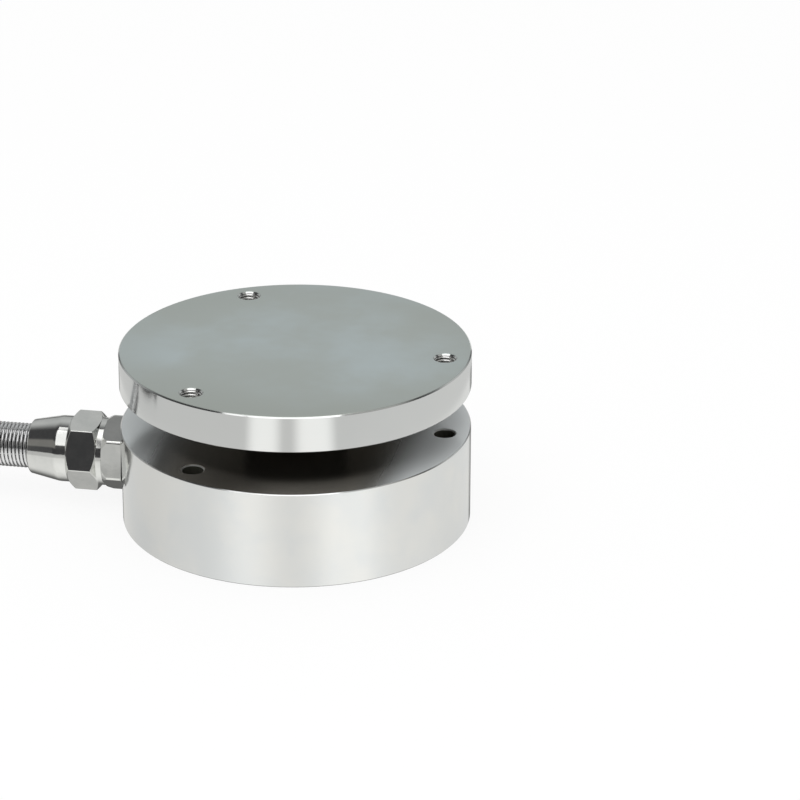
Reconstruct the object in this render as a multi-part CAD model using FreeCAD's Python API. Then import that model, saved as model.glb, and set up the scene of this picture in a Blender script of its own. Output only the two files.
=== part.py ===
import FreeCAD, Part
import math
import os

from FreeCAD import Placement, Rotation, Vector

# Compression load cell: a round load plate on the column of a turned sensing body, with a cable gland.
# Millimetres. The origin is the middle of the base, +Z is up, and the gland points along -X.

# Plate and body
cell_diameter = 100.0
body_height = 28.0
plate_gap = 12.4
plate_thickness = 10.6
plate_rim_chamfer = 0.4
body_rim_chamfer = 0.25

# Tapped holes, in one pattern through plate and body
hole_count = 3
hole_diameter = 6.0
hole_edge_distance = 7.0
plate_hole_chamfer = 0.45
body_hole_chamfer = 0.4

# Column on the diaphragm, and the stud that screws into the plate
column_diameter = 30.0
column_fillet = 2.0
stud_diameter = 18.0
stud_length = 6.0
stud_chamfer = 0.8
stud_end_gap = 0.5

# Gauge channel, turned into the body from below, and the cover that closes it
rim_wall = 20.0
channel_width = 14.0
channel_fillet = 2.0
diaphragm_thickness = 6.0
cover_thickness = 1.5
cover_setback = 0.3
cover_land = 2.8
overload_gap = 0.6

# Strain gauges, their wires and the terminal board
gauge_count = 4
gauge_first_angle = 45.0
gauge_width = 5.0
gauge_thickness = 0.12
gauge_margin = 1.0
gauge_lead_width = 0.6
gauge_lead_thickness = 0.15
gauge_lead_spacing = 2.4
board_top_height = 8.0
board_thickness = 1.6
board_ledge = 2.2
board_boss_gap = 4.0
resistor_count = 4
resistor_length = 3.2
resistor_width = 1.6
resistor_height = 0.6
pin_width = 0.8
pin_rise = 0.5

# Cable
cable_diameter = 5.5
core_diameter = 1.2
core_spacing = 1.5
drain_diameter = 0.8
drain_offset = 1.9
inlet_setback = 3.0
upper_core_reach = 5.5
lower_core_reach = 3.0
drain_reach = 0.8

# Cable gland: washer, body, seal, clamp and nut
gland_rise = 0.5
gland_thread_diameter = 16.0
spotface_margin = 2.6
spotface_depth = 1.3
washer_width = 1.4
washer_thickness = 0.7
shank_length = 9.0
bore_end_gap = 0.5
wire_passage_diameter = 8.0
gland_bore_clearance = 0.65
gland_hex_shoulder = 1.7
gland_hex_length = 6.0
gland_hex_angle = 8.0
gland_hex_back_chamfer = 0.5
gland_hex_front_chamfer = 1.1
gland_hex_front_run = 2.0
thread_chamfer = 0.6
neck_length = 8.1
neck_wall = 2.5
seal_length = 5.5
clamp_inset = 1.0
clamp_slit_count = 6
clamp_slit_width = 0.6
clamp_collar = 1.2
nut_wall = 2.0
nut_hex_length = 10.6
nut_hex_angle = 21.0
nut_face_inset = 0.2
nut_face_length = 1.6
nut_hex_back_run = 1.3
nut_hex_front_run = 1.4
nut_collar_wall = 1.6
nut_collar_length = 3.3
nut_collar_radius = 4.0
nut_cone_length = 8.7
nut_mouth_wall = 1.3
nut_mouth_chamfer = 0.3
nut_thread_relief = 0.5
nut_passage_diameter = 8.8

# Guard spring, wound close from round wire
spring_diameter = 13.0
spring_wire_diameter = 1.2
spring_turns_seated = 7
spring_turns_free = 24
spring_groove_depth = 0.5

# Clearances
thread_clearance = 0.05
fit_clearance = 0.05
slip_clearance = 0.1

# Cable laid out beside the cell: the route to the coil, then the coil, its ties and the stripped end
cable_first_run = 16.0
cable_route = [(-141.0, 8.0, 9.0), (-160.0, 21.0, 4.2)]
coil_centre = (-185.0, -15.3)
coil_middle_radius = 33.0
coil_turns_across = 5
coil_layers = 3
coil_slack = 0.35
tie_angles = [150.0, 330.0]
tie_width = 3.6
tie_thickness = 1.0
tie_clearance = 0.2
tie_head_width = 5.4
tie_head_height = 5.0
tie_head_depth = 3.6
end_angle = 240.0
end_start = -4.0
end_length = 12.0
sleeve_length = 11.0
sleeve_wall = 0.4
sleeve_overlap = 5.0
lead_length = 24.0
lead_start_gap = 0.2
lead_fan = 2.0
lead_drop = 1.6
tip_length = 5.5
tip_diameter = 0.7

# Places worked out from the sizes
cell_radius = cell_diameter / 2
hole_circle_radius = cell_radius - hole_edge_distance
plate_bottom = body_height + plate_gap
plate_top = plate_bottom + plate_thickness
cavity_radius = cell_radius - rim_wall
boss_radius = cavity_radius - channel_width
board_recess_radius = cavity_radius + board_ledge
cover_recess_radius = board_recess_radius + cover_land
cover_seat_height = cover_setback + cover_thickness
boss_bottom = cover_seat_height + overload_gap
channel_top = body_height - diaphragm_thickness
gauge_circle_radius = (boss_radius + cavity_radius) / 2
gauge_bottom = channel_top - gauge_thickness
board_middle_radius = (boss_radius + board_boss_gap + board_recess_radius) / 2
board_bottom = board_top_height - board_thickness
gland_height = body_height / 2 + gland_rise
cable_radius = cable_diameter / 2
gland_thread_radius = gland_thread_diameter / 2
washer_radius = gland_thread_radius + washer_width
gland_hex_flats = gland_thread_diameter + 2 * gland_hex_shoulder
nut_hex_flats = gland_thread_diameter + 2 * nut_wall
seal_pocket_radius = gland_thread_radius - neck_wall
spring_radius = spring_diameter / 2
spring_socket_radius = spring_radius + slip_clearance

# Stations along the gland, measured out from the middle of the cell
seat_station = cell_radius - spotface_depth
shank_end_station = seat_station - shank_length
bore_end_station = shank_end_station - bore_end_gap
inlet_station = cavity_radius + inlet_setback
hex_station = seat_station + washer_thickness
nut_station = hex_station + gland_hex_length
neck_end_station = nut_station + neck_length
seal_station = neck_end_station - seal_length
nut_collar_station = nut_station + nut_hex_length
nut_cone_station = nut_collar_station + nut_collar_length
nut_mouth_station = nut_cone_station + nut_cone_length
spring_station = nut_mouth_station - spring_turns_seated * spring_wire_diameter
spring_end_station = nut_mouth_station + spring_turns_free * spring_wire_diameter

# Section of the coil, lifted by the ties that it lies on
coil_half_width = coil_turns_across * cable_diameter / 2
coil_inner_radius = coil_middle_radius - coil_half_width - coil_slack
coil_outer_radius = coil_middle_radius + coil_half_width + coil_slack
coil_bottom = tie_thickness + tie_clearance
coil_top = coil_bottom + coil_layers * cable_diameter
end_tangent_radius = coil_middle_radius - cable_diameter


def rounded_wire(corners, place):
    """Closed wire through (a, b, radius) corners, with a tangent arc where the radius isn't zero."""
    same_point = 1e-6
    edges = []
    joins = []
    for index, (a, b, radius) in enumerate(corners):
        corner = place(a, b)
        before = place(*corners[index - 1][:2])
        after = place(*corners[(index + 1) % len(corners)][:2])
        if radius == 0:
            joins.append((corner, None, corner))
            continue
        to_before = (before - corner).normalize()
        to_after = (after - corner).normalize()
        half_angle = to_before.getAngle(to_after) / 2
        setback = radius / math.tan(half_angle)
        inward = (to_before + to_after).normalize()
        middle = corner + inward * (radius / math.sin(half_angle) - radius)
        joins.append((corner + to_before * setback, middle, corner + to_after * setback))
    for index, (start, middle, end) in enumerate(joins):
        if middle:
            edges.append(Part.Arc(start, middle, end).toShape())
        following = joins[(index + 1) % len(joins)][0]
        if end.distanceToPoint(following) > same_point:
            edges.append(Part.LineSegment(end, following).toShape())
    return Part.Wire(edges)


def turned(corners):
    """Solid turned about Z from (radius, height, corner radius) points."""
    wire = rounded_wire(corners, lambda radius, height: Vector(radius, 0, height))
    return Part.Face(wire).revolve(Vector(0, 0, 0), Vector(0, 0, 1), 360)


def on_gland_axis(shape):
    """Shape made along +Z, laid along the gland's axis with its height as the station."""
    shape.Placement = Placement(Vector(0, 0, gland_height), Rotation(Vector(0, 1, 0), -90))
    return shape


def gland_point(station, side=0.0, rise=0.0):
    """Point at a station of the gland's axis, off to the side and up from it."""
    return Vector(-station, side, gland_height + rise)


def around(shape, count, first_angle=0.0):
    """Copies of a shape, evenly spaced about Z."""
    copies = []
    for index in range(count):
        copy = shape.copy()
        copy.rotate(Vector(0, 0, 0), Vector(0, 0, 1), first_angle + index * 360.0 / count)
        copies.append(copy)
    return copies


def cylinder(radius, start, end):
    """Plain round bar along Z."""
    return Part.makeCylinder(radius, end - start, Vector(0, 0, start))


def hexagon_bar(flats, start, end, angle):
    """Hexagonal bar along Z, with a corner at the given angle."""
    corner_radius = flats / math.sqrt(3)
    corners = []
    for index in range(7):
        turn = math.radians(angle + 60 * index)
        corners.append(Vector(corner_radius * math.cos(turn), corner_radius * math.sin(turn), start))
    return Part.Face(Part.makePolygon(corners)).extrude(Vector(0, 0, end - start))


def tube_path(points):
    """Straight runs joined by tangent arcs as large as the runs allow, as a wire and its arc radii."""
    arc_share = 0.45
    edges = []
    radii = []
    start = points[0]
    for before, corner, after in zip(points, points[1:], points[2:]):
        to_before = (before - corner).normalize()
        to_after = (after - corner).normalize()
        half_angle = to_before.getAngle(to_after) / 2
        setback = arc_share * min(before.distanceToPoint(corner), after.distanceToPoint(corner))
        radius = setback * math.tan(half_angle)
        inward = (to_before + to_after).normalize()
        arc_start = corner + to_before * setback
        arc_middle = corner + inward * (radius / math.sin(half_angle) - radius)
        arc_end = corner + to_after * setback
        edges.append(Part.LineSegment(start, arc_start).toShape())
        edges.append(Part.Arc(arc_start, arc_middle, arc_end).toShape())
        radii.append(radius)
        start = arc_end
    edges.append(Part.LineSegment(start, points[-1]).toShape())
    return Part.Wire(edges), radii


def tapped_holes(bottom, top, chamfer):
    """Cutters for the hole pattern between two faces, with a chamfer at both mouths."""
    radius = hole_diameter / 2
    mouth = radius + chamfer
    cutter = turned([
        (0, bottom, 0),
        (mouth, bottom, 0),
        (radius, bottom + chamfer, 0),
        (radius, top - chamfer, 0),
        (mouth, top, 0),
        (0, top, 0),
    ])
    cutter.translate(Vector(hole_circle_radius, 0, 0))
    return around(cutter, hole_count)


def load_plate():
    stud_hole_radius = stud_diameter / 2 + thread_clearance
    stud_hole_top = plate_bottom + stud_length + stud_end_gap
    plate = turned([
        (0, stud_hole_top, 0),
        (stud_hole_radius, stud_hole_top, 0),
        (stud_hole_radius, plate_bottom, 0),
        (cell_radius - plate_rim_chamfer, plate_bottom, 0),
        (cell_radius, plate_bottom + plate_rim_chamfer, 0),
        (cell_radius, plate_top - plate_rim_chamfer, 0),
        (cell_radius - plate_rim_chamfer, plate_top, 0),
        (0, plate_top, 0),
    ])
    return plate.cut(tapped_holes(plate_bottom, plate_top, plate_hole_chamfer))


def gland_cutters():
    """Spot face, threaded bore and wire passage for the gland."""
    cutters = [
        cylinder(washer_radius + spotface_margin, seat_station, cell_radius + spotface_depth),
        cylinder(gland_thread_radius, bore_end_station, cell_radius),
        cylinder(wire_passage_diameter / 2, gauge_circle_radius, seat_station),
    ]
    return [on_gland_axis(cutter) for cutter in cutters]


def sensing_body():
    column_radius = column_diameter / 2
    stud_radius = stud_diameter / 2
    stud_top = plate_bottom + stud_length
    body = turned([
        (0, boss_bottom, 0),
        (boss_radius, boss_bottom, 0),
        (boss_radius, channel_top, channel_fillet),
        (cavity_radius, channel_top, channel_fillet),
        (cavity_radius, board_top_height, 0),
        (board_recess_radius, board_top_height, 0),
        (board_recess_radius, cover_seat_height, 0),
        (cover_recess_radius, cover_seat_height, 0),
        (cover_recess_radius, 0, 0),
        (cell_radius - body_rim_chamfer, 0, 0),
        (cell_radius, body_rim_chamfer, 0),
        (cell_radius, body_height - body_rim_chamfer, 0),
        (cell_radius - body_rim_chamfer, body_height, 0),
        (column_radius, body_height, column_fillet),
        (column_radius, plate_bottom, 0),
        (stud_radius, plate_bottom, 0),
        (stud_radius, stud_top - stud_chamfer, 0),
        (stud_radius - stud_chamfer, stud_top, 0),
        (0, stud_top, 0),
    ])
    return body.cut(tapped_holes(0, body_height, body_hole_chamfer) + gland_cutters())


def base_cover():
    radius = cover_recess_radius - fit_clearance
    return cylinder(radius, cover_setback, cover_seat_height)


def strain_gauges():
    """One foil gauge for each arm of the bridge, bonded under the diaphragm."""
    length = channel_width - 2 * (channel_fillet + gauge_margin)
    corner = Vector(gauge_circle_radius - length / 2, -gauge_width / 2, gauge_bottom)
    gauge = Part.makeBox(length, gauge_width, gauge_thickness, corner)
    return around(gauge, gauge_count, gauge_first_angle)


def gauge_leads():
    """Two flat ribbon leads down from each gauge to the board."""
    ribbons = []
    for side in (-1, 1):
        corner = Vector(
            gauge_circle_radius - gauge_lead_thickness / 2,
            (side * gauge_lead_spacing - gauge_lead_width) / 2,
            board_top_height,
        )
        height = gauge_bottom - board_top_height
        ribbon = Part.makeBox(gauge_lead_thickness, gauge_lead_width, height, corner)
        ribbons += around(ribbon, gauge_count, gauge_first_angle)
    return Part.makeCompound(ribbons)


def terminal_board():
    outer = cylinder(board_recess_radius - fit_clearance, board_bottom, board_top_height)
    hole = cylinder(boss_radius + board_boss_gap, board_bottom, board_top_height)
    return outer.cut(hole)


def trim_resistors():
    corner = Vector(
        board_middle_radius - resistor_length / 2,
        -resistor_width / 2,
        board_bottom - resistor_height,
    )
    resistor = Part.makeBox(resistor_length, resistor_width, resistor_height, corner)
    return Part.makeCompound(around(resistor, resistor_count))


def core_layout():
    """Side, rise, reach into the channel and diameter of each stripped core and the drain wire."""
    half = core_spacing / 2
    return {
        "core_red": (half, half, upper_core_reach, core_diameter),
        "core_black": (-half, half, upper_core_reach, core_diameter),
        "core_green": (half, -half, lower_core_reach, core_diameter),
        "core_white": (-half, -half, lower_core_reach, core_diameter),
        "shield_drain": (0, -drain_offset, drain_reach, drain_diameter),
    }


def cable_cores():
    """Stripped cores and drain wire, from the end of the cable's jacket to the board's pins."""
    cores = {}
    for name, (side, rise, reach, diameter) in core_layout().items():
        start = gland_point(inlet_station, side, rise)
        length = inlet_station - cavity_radius + reach
        cores[name] = Part.makeCylinder(diameter / 2, length, start, Vector(1, 0, 0))
    return cores


def terminal_pins():
    """Square pins on the board, one at the end of each core."""
    pins = []
    for side, rise, reach, _ in core_layout().values():
        top = gland_point(cavity_radius - reach, side, rise + pin_rise)
        corner = Vector(top.x, top.y - pin_width / 2, board_top_height)
        pins.append(Part.makeBox(pin_width, pin_width, top.z - board_top_height, corner))
    return Part.makeCompound(pins)


def gland_washer():
    outer = cylinder(washer_radius, seat_station, hex_station)
    hole = cylinder(gland_thread_radius, seat_station, hex_station)
    return on_gland_axis(outer.cut(hole))


def gland_body():
    thread_radius = gland_thread_radius - thread_clearance
    corner_radius = gland_hex_flats / math.sqrt(3)
    hexagon = hexagon_bar(gland_hex_flats, hex_station, nut_station, gland_hex_angle)
    chamfered_ends = turned([
        (0, hex_station, 0),
        (corner_radius - gland_hex_back_chamfer, hex_station, 0),
        (corner_radius, hex_station + gland_hex_back_chamfer, 0),
        (corner_radius, nut_station - gland_hex_front_run, 0),
        (corner_radius - gland_hex_front_chamfer, nut_station, 0),
        (0, nut_station, 0),
    ])
    threads = turned([
        (0, shank_end_station, 0),
        (thread_radius - thread_chamfer, shank_end_station, 0),
        (thread_radius, shank_end_station + thread_chamfer, 0),
        (thread_radius, neck_end_station - thread_chamfer, 0),
        (thread_radius - thread_chamfer, neck_end_station, 0),
        (0, neck_end_station, 0),
    ])
    bore = cylinder(cable_radius + gland_bore_clearance, shank_end_station, neck_end_station)
    seal_pocket = cylinder(seal_pocket_radius, seal_station, neck_end_station)
    return on_gland_axis(hexagon.common(chamfered_ends).fuse(threads).cut([bore, seal_pocket]))


def gland_seal():
    outer = cylinder(seal_pocket_radius - fit_clearance, seal_station, neck_end_station)
    hole = cylinder(cable_radius + fit_clearance, seal_station, neck_end_station)
    return on_gland_axis(outer.cut(hole))


def nut_taper():
    """Start and end of the nut's inner taper at 45 degrees, as (station, radius) pairs."""
    start_station = neck_end_station + nut_thread_relief
    end_radius = nut_passage_diameter / 2
    end_station = start_station + gland_thread_radius - end_radius
    return (start_station, gland_thread_radius), (end_station, end_radius)


def clamp_ring():
    """Slit ring that the nut's taper presses onto the cable."""
    (taper_station, taper_radius), _ = nut_taper()
    outer_radius = gland_thread_radius - clamp_inset
    taper_at_ring = taper_station + taper_radius - outer_radius - slip_clearance * math.sqrt(2)
    inner_radius = cable_radius + slip_clearance
    tip_radius = inner_radius + clamp_collar
    tip_station = taper_at_ring + outer_radius - tip_radius
    ring = turned([
        (inner_radius, neck_end_station, 0),
        (outer_radius, neck_end_station, 0),
        (outer_radius, taper_at_ring, 0),
        (tip_radius, tip_station, 0),
        (inner_radius, tip_station, 0),
    ])
    slit = Part.makeBox(
        outer_radius,
        clamp_slit_width,
        tip_station - neck_end_station,
        Vector(0, -clamp_slit_width / 2, neck_end_station + clamp_collar),
    )
    return on_gland_axis(ring.cut(around(slit, clamp_slit_count)))


def gland_nut():
    """Hexagon with a round face towards the gland's body, and a conical tail, in one piece."""
    corner_radius = nut_hex_flats / math.sqrt(3)
    face_radius = nut_hex_flats / 2 - nut_face_inset
    face_end = nut_station + nut_face_length
    collar_radius = gland_thread_radius + nut_collar_wall
    mouth_radius = spring_socket_radius + nut_mouth_wall
    hexagon = hexagon_bar(nut_hex_flats, nut_station, nut_collar_station, nut_hex_angle)
    chamfered_ends = turned([
        (0, nut_station, 0),
        (face_radius, nut_station, 0),
        (face_radius, face_end, 0),
        (corner_radius, face_end + nut_hex_back_run, 0),
        (corner_radius, nut_collar_station - nut_hex_front_run, 0),
        (collar_radius, nut_collar_station, 0),
        (0, nut_collar_station, 0),
    ])
    tail = turned([
        (0, nut_collar_station, 0),
        (collar_radius, nut_collar_station, 0),
        (collar_radius, nut_cone_station, nut_collar_radius),
        (mouth_radius, nut_mouth_station - nut_mouth_chamfer, 0),
        (mouth_radius - nut_mouth_chamfer, nut_mouth_station, 0),
        (0, nut_mouth_station, 0),
    ])
    (taper_station, taper_radius), (passage_station, passage_radius) = nut_taper()
    inside = turned([
        (0, nut_station, 0),
        (taper_radius, nut_station, 0),
        (taper_radius, taper_station, 0),
        (passage_radius, passage_station, 0),
        (passage_radius, spring_station, 0),
        (spring_socket_radius, spring_station, 0),
        (spring_socket_radius, nut_mouth_station, 0),
        (0, nut_mouth_station, 0),
    ])
    return on_gland_axis(hexagon.common(chamfered_ends).fuse(tail).cut(inside).removeSplitter())


def guard_spring():
    """Close-wound spring: plain where it sits in the nut, then each turn a ridge with a groove beside it."""
    root_radius = spring_radius - spring_groove_depth
    inner_radius = spring_radius - spring_wire_diameter
    corners = [
        (inner_radius, spring_station, 0),
        (spring_radius, spring_station, 0),
        (spring_radius, nut_mouth_station, 0),
        (root_radius, nut_mouth_station, 0),
    ]
    for turn in range(spring_turns_free):
        start = nut_mouth_station + turn * spring_wire_diameter
        corners.append((spring_radius, start + spring_wire_diameter / 2, 0))
        corners.append((root_radius, start + spring_wire_diameter, 0))
    corners.append((inner_radius, spring_end_station, 0))
    return on_gland_axis(turned(corners))


def cable_inlet():
    """Jacketed cable inside the gland and the spring."""
    return on_gland_axis(cylinder(cable_radius, inlet_station, spring_end_station))


def coil_section(grow):
    """Outline of the coil's section, grown outwards, with corners cut to touch the cable's round."""
    inner = coil_inner_radius - grow
    outer = coil_outer_radius + grow
    bottom = coil_bottom - grow
    top = coil_top + grow
    corner = (cable_radius + grow) * (2 - math.sqrt(2))
    return [
        (inner + corner, bottom, 0),
        (outer - corner, bottom, 0),
        (outer, bottom + corner, 0),
        (outer, top - corner, 0),
        (outer - corner, top, 0),
        (inner + corner, top, 0),
        (inner, top - corner, 0),
        (inner, bottom + corner, 0),
    ]


def at_coil(shape, angle=0.0):
    """Shape made about the origin, turned and set down on the coil's centre."""
    shape.rotate(Vector(0, 0, 0), Vector(0, 0, 1), angle)
    shape.translate(Vector(coil_centre[0], coil_centre[1], 0))
    return shape


def cable_coil():
    return at_coil(turned(coil_section(0)))


def free_cable(coil):
    """Cable from the spring to the coil, ending against the coil's side."""
    points = [gland_point(spring_end_station), gland_point(spring_end_station + cable_first_run)]
    points += [Vector(*point) for point in cable_route]
    path, radii = tube_path(points)
    section = Part.Wire(Part.makeCircle(cable_radius, points[0], points[1] - points[0]))
    tube = path.makePipeShell([section], True, False)
    plain_volume = math.pi * cable_radius ** 2 * path.Length
    print("cable bend radii", [round(radius, 1) for radius in radii])
    print("cable length", round(path.Length, 1), "volume ratio", round(tube.Volume / plain_volume, 4))
    return tube.cut(coil)


def coil_tie(angle):
    """Strap round the coil's section, with its head on the outside."""
    across = Vector(0, tie_width, 0)
    faces = []
    for grow in (tie_clearance + tie_thickness, tie_clearance):
        wire = rounded_wire(coil_section(grow), lambda radius, height: Vector(radius, -tie_width / 2, height))
        faces.append(Part.Face(wire).extrude(across))
    head = Part.makeBox(
        tie_head_depth,
        tie_head_width,
        tie_head_height,
        Vector(
            coil_outer_radius + tie_clearance,
            -tie_head_width / 2,
            (coil_bottom + coil_top - tie_head_height) / 2,
        ),
    )
    return at_coil(faces[0].cut(faces[1]).fuse(head).removeSplitter(), angle)


def stripped_end():
    """End of the cable on top of the coil: the last of the jacket, its sleeve, the leads and their tips."""
    along = Vector(0, 1, 0)
    sleeve_bore = cable_radius + fit_clearance
    sleeve_radius = sleeve_bore + sleeve_wall
    start = Vector(end_tangent_radius, end_start, coil_top + slip_clearance + sleeve_radius)
    jacket_end = start + along * end_length
    sleeve_start = jacket_end - along * sleeve_overlap
    sleeve = Part.makeCylinder(sleeve_radius, sleeve_length, sleeve_start, along)
    pieces = {
        "cable_end": Part.makeCylinder(cable_radius, end_length, start, along),
        "end_sleeve": sleeve.cut(Part.makeCylinder(sleeve_bore, sleeve_length, sleeve_start, along)),
    }
    half = core_spacing / 2
    layout = {
        "lead_red": (half, half, 1, core_diameter),
        "lead_black": (-half, half, -1, core_diameter),
        "lead_green": (half, -half, 2, core_diameter),
        "lead_white": (-half, -half, -2, core_diameter),
        "lead_drain": (0, 0, 0, drain_diameter),
    }
    tips = []
    for name, (side, rise, fan, diameter) in layout.items():
        direction = Vector(fan * lead_fan, lead_length, -lead_drop).normalize()
        lead_start = jacket_end + Vector(side, lead_start_gap, rise)
        lead_end = lead_start + direction * lead_length
        pieces[name] = Part.makeCylinder(diameter / 2, lead_length, lead_start, direction)
        tips.append(Part.makeCylinder(tip_diameter / 2, tip_length, lead_end, direction))
    pieces["lead_tips"] = Part.makeCompound(tips)
    return {name: at_coil(piece, end_angle) for name, piece in pieces.items()}


def build():
    coil = cable_coil()
    pieces = {
        "load_plate": load_plate(),
        "sensing_body": sensing_body(),
        "base_cover": base_cover(),
        "terminal_board": terminal_board(),
        "trim_resistors": trim_resistors(),
        "terminal_pins": terminal_pins(),
        "gauge_leads": gauge_leads(),
        "gland_washer": gland_washer(),
        "gland_body": gland_body(),
        "gland_seal": gland_seal(),
        "clamp_ring": clamp_ring(),
        "gland_nut": gland_nut(),
        "guard_spring": guard_spring(),
        "cable_inlet": cable_inlet(),
        "cable": free_cable(coil),
        "cable_coil": coil,
    }
    for number, gauge in enumerate(strain_gauges(), start=1):
        pieces[f"strain_gauge_{number}"] = gauge
    for number, angle in enumerate(tie_angles, start=1):
        pieces[f"coil_tie_{number}"] = coil_tie(angle)
    pieces.update(cable_cores())
    pieces.update(stripped_end())
    return pieces


os.makedirs("parts", exist_ok=True)
for piece_name, piece_shape in build().items():
    piece_shape.exportStep(f"parts/{piece_name}.step")
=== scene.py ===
import math

import bmesh
import bpy
from mathutils import Matrix, Vector


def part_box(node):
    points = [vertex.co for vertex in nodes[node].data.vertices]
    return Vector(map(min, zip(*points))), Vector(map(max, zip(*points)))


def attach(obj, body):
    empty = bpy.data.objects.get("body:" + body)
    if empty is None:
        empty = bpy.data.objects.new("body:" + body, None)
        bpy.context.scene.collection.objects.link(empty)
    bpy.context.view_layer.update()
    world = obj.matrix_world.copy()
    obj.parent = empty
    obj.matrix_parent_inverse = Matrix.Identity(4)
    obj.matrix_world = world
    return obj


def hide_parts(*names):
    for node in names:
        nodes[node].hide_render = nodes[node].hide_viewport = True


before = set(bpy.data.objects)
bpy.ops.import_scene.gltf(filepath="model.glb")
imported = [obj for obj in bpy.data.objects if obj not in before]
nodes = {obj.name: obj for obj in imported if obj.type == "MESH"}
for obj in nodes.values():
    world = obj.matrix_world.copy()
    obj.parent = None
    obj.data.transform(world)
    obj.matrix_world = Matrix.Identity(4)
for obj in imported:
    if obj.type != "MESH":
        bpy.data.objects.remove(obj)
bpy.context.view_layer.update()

# Sensing body
# One turned piece of stainless steel: the thick rim, the column that carries the load plate and the
# diaphragm between them. The wall is polished along the tool marks, and the top face is left satin.
# Under the plate, the top face, the column and the bolt holes carry painted shade and light.


class Socket:
    """An output of a material's node. Sums written with it add Math nodes to that material."""

    def __init__(self, finish, output):
        self.finish = finish
        self.output = output

    def maths(self, operation, *values):
        return self.finish.node("ShaderNodeMath", {"operation": operation}, dict(enumerate(values)))

    def __add__(self, other):
        return self.maths("ADD", self, other)

    def __radd__(self, other):
        return self.maths("ADD", other, self)

    def __sub__(self, other):
        return self.maths("SUBTRACT", self, other)

    def __rsub__(self, other):
        return self.maths("SUBTRACT", other, self)

    def __mul__(self, other):
        return self.maths("MULTIPLY", self, other)

    def __rmul__(self, other):
        return self.maths("MULTIPLY", other, self)

    def __pow__(self, other):
        return self.maths("POWER", self, other)

    def __gt__(self, other):
        return self.maths("GREATER_THAN", self, other)

    def __lt__(self, other):
        return self.maths("LESS_THAN", self, other)

    def __abs__(self):
        return self.maths("ABSOLUTE", self)

    def sine(self):
        return self.maths("SINE", self)

    def larger(self, other):
        return self.maths("MAXIMUM", self, other)

    def smaller(self, other):
        return self.maths("MINIMUM", self, other)


class Finish:
    """A material in the making: its nodes, and the shader that they feed."""

    def __init__(self, name):
        self.material = bpy.data.materials.new(name)
        self.material.use_nodes = True
        self.tree = self.material.node_tree
        self.shader = self.tree.nodes["Principled BSDF"]

    def node(self, kind, settings=None, sockets=None, output=0):
        made = self.tree.nodes.new(kind)
        for name, value in (settings or {}).items():
            setattr(made, name, value)
        self.plug(made, sockets or {})
        return Socket(self, made.outputs[output])

    def plug(self, node, sockets):
        for name, value in sockets.items():
            if isinstance(value, Socket):
                self.tree.links.new(value.output, node.inputs[name])
            else:
                node.inputs[name].default_value = value

    def place(self):
        return self.node("ShaderNodeTexCoord", output="Object")

    def axis(self, name):
        return self.node("ShaderNodeSeparateXYZ", {}, {0: self.place()}, output=name)

    def length_across(self, scale, centre=(0, 0, 0)):
        """Distance from a centre along the scaled axes: (1, 1, 0) gives it from a line along Z."""
        moved = self.node("ShaderNodeVectorMath", {"operation": "SUBTRACT"}, {0: self.place(), 1: centre})
        flat = self.node("ShaderNodeVectorMath", {"operation": "MULTIPLY"}, {0: moved, 1: scale})
        return self.node("ShaderNodeVectorMath", {"operation": "LENGTH"}, {0: flat}, output="Value")

    def clouds(self, size, detail=3.0):
        """Soft blotches of about that size in metres, from 0 to 1."""
        sockets = {"Vector": self.place(), "Scale": 1 / size, "Detail": detail, "Roughness": 0.55}
        return self.node("ShaderNodeTexNoise", {}, sockets)

    def lines(self, along, pitch):
        """Uneven parallel lines along a value in metres, from 0 to 1."""
        sockets = {"W": along, "Scale": 1 / pitch, "Detail": 2.0, "Roughness": 0.6}
        return self.node("ShaderNodeTexNoise", {"noise_dimensions": "1D"}, sockets)

    def step(self, value, start, end):
        """Rises smoothly from 0 to 1 between two values."""
        sockets = {"Value": value, "From Min": start, "From Max": end}
        return self.node("ShaderNodeMapRange", {"interpolation_type": "SMOOTHSTEP"}, sockets)

    def blend(self, share, first, second):
        """Mix of two colours."""
        return self.node("ShaderNodeMix", {"data_type": "RGBA"}, {0: share, 6: first, 7: second}, output=2)

    def bump(self, height, distance):
        return self.node("ShaderNodeBump", {}, {"Height": height, "Distance": distance})

    def put_on(self, *pieces):
        """Makes this the only material of the pieces."""
        for piece in pieces:
            piece.data.materials.clear()
            piece.data.materials.append(self.material)

    def show_on(self, *pieces, **sockets):
        """Feeds the shader and puts the finished material on the pieces."""
        self.plug(self.shader, {name.replace("_", " "): value for name, value in sockets.items()})
        self.put_on(*pieces)


body_top = 0.028
face_depth = 0.0001
rim_edge = 0.0497
rim_depth = 0.0004
column_reach = 0.0175
# Painted shade: the column is coloured near black for the shade of the gap under the plate.
column_shade_colour = (0.05, 0.045, 0.04, 1)
hole_circle_radius = 0.043
hole_count = 3
hole_reach = 0.0036
hole_countersink = 0.0004
lip_start = 0.00001
# Painted shade: the bolt holes and their lips are coloured dark and made less metallic for the shade in
# them.
bore_shade_colour = (0.08, 0.08, 0.064, 1)
turning_pitch = 0.00022
# Stretches over which the top face changes, along X or outwards from the axis. They place its painted
# light and shade: a duller, paler finish at the right, left and front edge, a dark middle, a pale rim and
# grey sides, standing in for what the face mirrors in the gap under the plate.
painted_light_right = (0.027, 0.040)
painted_light_left = (-0.031, -0.037)
painted_light_edge = (0.039, 0.044)
painted_light_front = (-0.012, 0.008)
painted_shade_middle = (0.037, 0.042)
painted_light_sides = (0.022, 0.036)

hole_centres = []
for number in range(hole_count):
    angle = number * 2 * math.pi / hole_count
    hole_centres.append((hole_circle_radius * math.cos(angle), hole_circle_radius * math.sin(angle), 0))

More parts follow.
